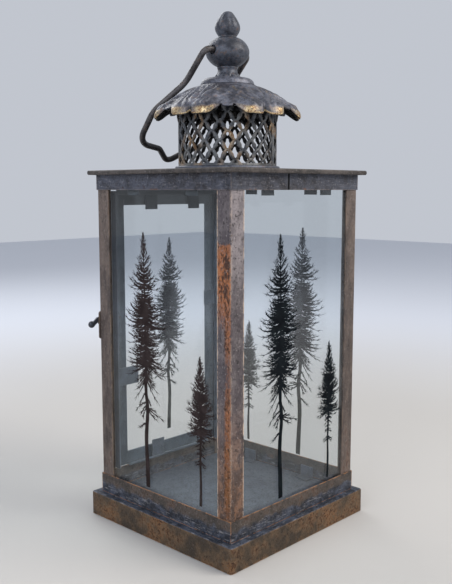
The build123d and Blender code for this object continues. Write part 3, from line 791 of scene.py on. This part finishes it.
# ---------------------------------------------------------------- bent glass tabs
def make_crooked_tabs(node_name, body, turns):
    """Copy of a node's tabs with each tab turned a few degrees in the plane of its pane."""
    mesh = nodes[node_name].data.copy()
    low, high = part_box(node_name)
    thin_x = high.x - low.x < high.y - low.y    # the pane faces along X, so the tabs turn about X
    groups = {}                                 # the vertices of each tab, by where its middle is
    links = {i: set() for i in range(len(mesh.vertices))}
    for edge in mesh.edges:
        links[edge.vertices[0]].add(edge.vertices[1])
        links[edge.vertices[1]].add(edge.vertices[0])
    unseen = set(links)
    while unseen:
        waiting = [min(unseen)]
        found = set()
        while waiting:
            i = waiting.pop()
            if i not in found:
                found.add(i)
                waiting.extend(links[i] - found)
        unseen -= found
        centre = sum((mesh.vertices[i].co for i in found), Vector()) / len(found)
        groups[(round(centre.z, 4), round(centre.y if thin_x else centre.x, 4))] = found
    for turn, key in zip(turns, sorted(groups)):
        tab = groups[key]
        centre = sum((mesh.vertices[i].co for i in tab), Vector()) / len(tab)
        spin = Matrix.Rotation(math.radians(turn), 3, "X" if thin_x else "Y")
        for i in tab:
            mesh.vertices[i].co = centre + spin @ (mesh.vertices[i].co - centre)
    mesh.name = f"crooked_{node_name}"
    piece = bpy.data.objects.new(f"crooked_{node_name}", mesh)
    bpy.context.scene.collection.objects.link(piece)
    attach(piece, body)
    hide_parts(node_name)


make_crooked_tabs("glass_tabs_front", "lantern", (3, -4, -9, 2))
make_crooked_tabs("glass_tabs_left", "lantern", (-3, 4, 3, -5))
make_crooked_tabs("glass_tabs_right", "lantern", (4, -2, 8, -8))
make_crooked_tabs("door_glass_tabs", "door", (2, 0, 0, 6, 5))


# ---------------------------------------------------------------- printed trees
class Print:
    """Flat ink shapes in one pane's plane, each a thin closed prism just proud of the glass."""

    def __init__(self, side, glass_face, seed):
        self.side = side
        self.glass_face = glass_face
        self.random = random.Random(seed)
        self.points = []
        self.faces = []

    def lift(self, u, v, depth):
        """Pane point u to the right as seen from outside, v up, to the lantern's frame."""
        out = self.glass_face + depth
        return {"front": (u, -out, v), "back": (-u, out, v), "left": (-out, -u, v),
                "right": (out, u, v)}[self.side]

    def prism(self, outline):
        """Closed prism of ink over a flat outline that runs anticlockwise."""
        base = len(self.points)
        count = len(outline)
        for level in (ink_gap, ink_gap + ink_thickness * self.random.uniform(0.6, 1.0)):
            self.points += [self.lift(u, v, level) for u, v in outline]
        for k in range(count):
            m = (k + 1) % count
            self.faces.append((base + k, base + m, base + count + m, base + count + k))
        self.faces.append(tuple(base + count + k for k in range(count)))
        self.faces.append(tuple(base + k for k in reversed(range(count))))

    def strip(self, spine, widths):
        """Tapered stroke along a spine of (u, v) points, one prism to each span."""
        sides = []
        for i, (u, v) in enumerate(spine):
            before = spine[max(0, i - 1)]
            after = spine[min(len(spine) - 1, i + 1)]
            run = Vector((after[0] - before[0], after[1] - before[1])).normalized()
            half = widths[i] / 2
            sides.append(((u + run.y * half, v - run.x * half), (u - run.y * half, v + run.x * half)))
        right = [pair[0] for pair in sides]
        left = [pair[1] for pair in sides]
        for i in range(len(spine) - 1):
            self.prism([right[i], right[i + 1], left[i + 1], left[i]])

    def bough(self, root, heading, length, curl, width, needles):
        """Bough that bends by curl degrees along its length, fringed with needles except at its tip."""
        steps = 5
        spine = [root]
        u, v = root
        for i in range(steps):
            turn = math.radians(heading + curl * ((i + 0.5) / steps) ** 1.4)
            u += math.cos(turn) * length / steps
            v += math.sin(turn) * length / steps
            spine.append((u, v))
        self.strip(spine, [width * (1 - 0.9 * (i / steps) ** 0.8) for i in range(steps + 1)])
        for _ in range(needles):
            at = self.random.uniform(0.05, 0.86) * steps
            index = int(at)
            a, b = spine[index], spine[index + 1]
            start = blend_points(a, b, at - index)
            run = math.atan2(b[1] - a[1], b[0] - a[0])
            side = self.random.choice((-1, 1))
            lean = run + side * math.radians(self.random.uniform(14, 42))
            reach = min(needle_reach, 0.42 * length) * self.random.uniform(0.5, 1.0)
            tip = (start[0] + math.cos(lean) * reach, start[1] + math.sin(lean) * reach)
            across = (-math.sin(lean) * needle_half, math.cos(lean) * needle_half)
            self.prism([(start[0] - across[0], start[1] - across[1]), tip,
                        (start[0] + across[0], start[1] + across[1])])

    def trunk(self, foot, height, widths, sway):
        """Crooked tapering trunk; returns the function that gives its centre at a rise from 0 to 1."""
        bends = catmull(sway, 8)

        def centre(rise):
            for a, b in zip(bends, bends[1:]):
                if rise <= b[0]:
                    offset = blend_points(a, b, (rise - a[0]) / (b[0] - a[0]))[1]
                    return foot[0] + offset, foot[1] + height * rise
            return foot[0] + bends[-1][1], foot[1] + height

        rises = [i / 40 for i in range(41)]
        thick = []
        for rise in rises:
            for a, b in zip(widths, widths[1:]):
                if a[0] <= rise <= b[0]:
                    thick.append(blend_points(a, b, (rise - a[0]) / (b[0] - a[0]))[1])
                    break
        self.strip([centre(rise) for rise in rises],
                   [t * self.random.uniform(0.92, 1.06) for t in thick])
        return centre

    def tier(self, centre, rises, reach, tilts, curl, count, width, needles, filling=1):
        """One storey of boughs on both sides: the lowest are the longest and hang the most."""
        count = int(count * crown_fill)
        for i in range(count):
            share = (i + self.random.random()) / count
            rise = rises[0] + (rises[1] - rises[0]) * share
            tilt = tilts[0] + (tilts[1] - tilts[0]) * share
            for side in (1, -1):
                length = reach * (1 - 0.58 * share) * self.random.uniform(0.70, 1.08)
                lean = tilt + self.random.uniform(-9, 9)
                bend = curl * self.random.uniform(0.7, 1.25)
                self.bough(centre(rise), lean if side > 0 else 180 - lean, length, bend * side, width,
                           int(needles * self.random.uniform(0.7, 1.2)))
                for _ in range(filling):
                    inner = tilt + self.random.uniform(-22, 22)
                    self.bough(centre(rise + self.random.uniform(-0.008, 0.008)),
                               inner if side > 0 else 180 - inner, length * self.random.uniform(0.42, 0.80),
                               bend * side, width * 1.15, int(needles * 0.8))

    def finish(self, name, material, body):
        """Make the mesh of everything printed so far."""
        return make_piece(name, self.points, self.faces, material, body, smooth=False)


ink_gap = 0.02               # air left between the ink and the glass, so that their faces never coincide
ink_thickness = 0.05
needle_reach = 4.0
needle_half = 0.26           # half the width of a needle cluster at its foot
crown_fill = 1.25            # boughs to a storey, over the number a storey is written with
tall_design = 186            # height that the tall fir's widths and tufts are written for
tall_height = 187
small_height = 104
door_tree_height = 159
tall_foot = (-16.0, 34.0)    # right of the pane's middle and above the table, as seen from outside
small_foot = (39.0, 34.8)
door_tree_foot = (0.0, 53.5)


def print_tall(printed, foot, height):
    """Tall fir: a narrow spire, storeys of upcurled boughs, drooping ones and loose tufts below."""
    unit = height / tall_design
    sway = [(r, unit * s) for r, s in ((0, 0), (0.08, -0.5), (0.15, -1.2), (0.22, -1.2), (0.29, 0.2),
                                       (0.34, 0.0), (0.39, -1.3), (0.52, -1.0), (0.72, -1.5), (1, -2.3))]
    centre = printed.trunk(foot, height,
                           [(0, 4.5 * unit), (0.30, 3.7 * unit), (0.55, 2.6 * unit), (0.85, 1.1 * unit),
                            (1.0, 0.3)], sway)
    for rises, reach, tilts, curl, count, width, needles in (
            ((0.90, 0.985), 0.058, (60, 78), 18, 8, 0.7, 5),
            ((0.85, 0.93), 0.066, (28, 60), 34, 7, 0.8, 7),
            ((0.785, 0.86), 0.100, (-14, 26), 54, 11, 1.0, 11),
            ((0.745, 0.79), 0.078, (-16, 10), 46, 5, 1.0, 10),
            ((0.655, 0.745), 0.150, (-34, -4), 62, 14, 1.3, 14),
            ((0.600, 0.665), 0.124, (-38, -14), 54, 8, 1.2, 12),
            ((0.495, 0.605), 0.150, (-44, -18), 58, 15, 1.3, 13),
            ((0.435, 0.495), 0.122, (-58, -40), 26, 6, 1.2, 12)):
        filling = 2 if needles >= 13 and rises[0] > 0.45 else 0 if rises[0] > 0.84 else 1
        printed.tier(centre, rises, reach * height, tilts, curl, count, width * unit, needles, filling)
    for rise, lean, length, curl in ((0.385, 232, 15, 12), (0.37, -50, 9, -10), (0.345, 205, 17, 26),
                                     (0.335, 222, 13, 20), (0.33, 236, 12, 18), (0.318, -22, 20, 14),
                                     (0.312, -34, 14, 10), (0.322, -12, 10, 12), (0.262, 214, 13, -8)):
        printed.bough(centre(rise), lean, length * unit, curl, 1.3 * unit, 17)


def print_small(printed, foot, height):
    """Small fir: a dense bottle brush over a bare stem with a few short tufts."""
    sway = [(0, 0), (0.15, 0.3), (0.3, -0.2), (0.5, 0.3), (0.75, 0.0), (1, -0.3)]
    centre = printed.trunk(foot, height, [(0, 2.6), (0.3, 2.1), (0.7, 1.2), (1.0, 0.25)], sway)
    for rises, reach, tilts, curl, count, width, needles in (
            ((0.86, 0.985), 0.075, (52, 80), 14, 9, 0.8, 6),
            ((0.72, 0.87), 0.118, (14, 46), 26, 14, 0.9, 10),
            ((0.60, 0.74), 0.160, (0, 26), 30, 16, 1.0, 11),
            ((0.49, 0.62), 0.150, (-22, 10), 34, 15, 1.0, 11),
            ((0.43, 0.50), 0.080, (-40, -20), 20, 5, 0.8, 8),
            ((0.29, 0.41), 0.075, (-44, -24), 20, 4, 0.8, 8)):
        printed.tier(centre, rises, reach * height, tilts, curl, count, width, needles)


pane_face = {"front": -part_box("glass_front")[0].y / MM, "left": -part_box("glass_left")[0].x / MM,
             "right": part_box("glass_right")[1].x / MM, "back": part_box("door_glass")[1].y / MM}
artwork_seed = 11            # the boughs fall the same way on every pane
for side, ink in (("front", ink_front), ("left", ink_left), ("right", ink_far)):
    printed = Print(side, pane_face[side], artwork_seed)
    print_tall(printed, tall_foot, tall_height)
    print_small(printed, small_foot, small_height)
    printed.finish(f"tree_print_{side}", ink, "lantern")
door_print = Print("back", pane_face["back"], artwork_seed)
print_tall(door_print, door_tree_foot, door_tree_height)
door_print.finish("tree_print_door", ink_far, "door")


# ---------------------------------------------------------------- stage, light and camera
def make_stage():
    """Plain warm grey floor that turns paler and cooler with distance."""
    size = 6.0
    below_lantern = 0.0004
    near_end, far_start = 0.30, 1.10
    mesh = bpy.data.meshes.new("floor")
    steps = 8
    verts = [((i / steps - 0.5) * size, (j / steps - 0.5) * size, -below_lantern)
             for j in range(steps + 1) for i in range(steps + 1)]
    faces = [(j * (steps + 1) + i, j * (steps + 1) + i + 1, (j + 1) * (steps + 1) + i + 1,
              (j + 1) * (steps + 1) + i) for j in range(steps) for i in range(steps)]
    mesh.from_pydata(verts, [], faces)
    floor = bpy.data.objects.new("floor", mesh)
    bpy.context.scene.collection.objects.link(floor)
    g = Graph("pale_floor")
    squared = g.calc("ADD", g.calc("POWER", g.calc("ABSOLUTE", g.axis("X")), 2),
                     g.calc("POWER", g.calc("ABSOLUTE", g.axis("Y")), 2))
    far_off = g.step(g.calc("POWER", squared, 0.5), near_end, far_start)
    near_colour = g.mix(g.noise(3, 2), srgb("#b4b1ad"), srgb("#bab8b4"))
    g.set(Base_Color=g.mix(far_off, near_colour, srgb("#d0d4dc")), Roughness=0.75)
    mesh.materials.append(g.material)


def add_light(name, place, target, size, power, colour="#ffffff"):
    """Rectangular area light at a place, turned towards a target."""
    lamp = bpy.data.lights.new(name, "AREA")
    lamp.shape = "RECTANGLE"
    lamp.size, lamp.size_y = size
    lamp.energy = power
    lamp.color = srgb(colour)[:3]
    holder = bpy.data.objects.new(name, lamp)
    holder.location = place
    holder.rotation_euler = (Vector(target) - Vector(place)).to_track_quat("-Z", "Y").to_euler()
    bpy.context.scene.collection.objects.link(holder)


def make_world():
    """Pale even surroundings, which light the lantern and mirror in its metal."""
    world = bpy.data.worlds.new("studio")
    world.use_nodes = True
    tree = world.node_tree
    tree.nodes.clear()
    out = tree.nodes.new("ShaderNodeOutputWorld")
    background = tree.nodes.new("ShaderNodeBackground")
    background.inputs["Color"].default_value = srgb("#dde2ec")
    background.inputs["Strength"].default_value = 0.74
    tree.links.new(background.outputs[0], out.inputs[0])
    bpy.context.scene.world = world


def make_camera():
    """Camera facing the corner between the front and left panes, looking slightly down."""
    distance = 0.6019
    height = 0.2510
    azimuth = -46.22
    pitch = 7.31
    side_shift = -0.0011
    lens = 49.25
    turn = math.radians(azimuth)
    camera = bpy.data.cameras.new("camera")
    camera.sensor_fit = "AUTO"
    camera.sensor_width = 36
    camera.lens = lens
    camera.clip_start = 0.01
    holder = bpy.data.objects.new("camera", camera)
    right = Vector((math.cos(turn), math.sin(turn), 0))
    back = Vector((math.sin(turn), -math.cos(turn), 0))
    place = back * distance + right * side_shift + Vector((0, 0, height))
    holder.matrix_world = (Matrix.Translation(place) @ Matrix.Rotation(turn, 4, "Z")
                           @ Matrix.Rotation(math.radians(90 - pitch), 4, "X"))
    bpy.context.scene.collection.objects.link(holder)
    bpy.context.scene.camera = holder


make_stage()
make_world()
make_camera()
bpy.context.scene.view_settings.view_transform = "Standard"
add_light("key", (0.55, -1.05, 1.15), (0, 0, 0.18), (0.9, 0.9), 20, "#fff8f0")
add_light("fill", (-1.25, -0.25, 0.75), (0, 0, 0.18), (1.0, 1.0), 10, "#eef3ff")
add_light("back", (0.2, 1.2, 1.1), (0, 0, 0.2), (1.2, 0.8), 9)
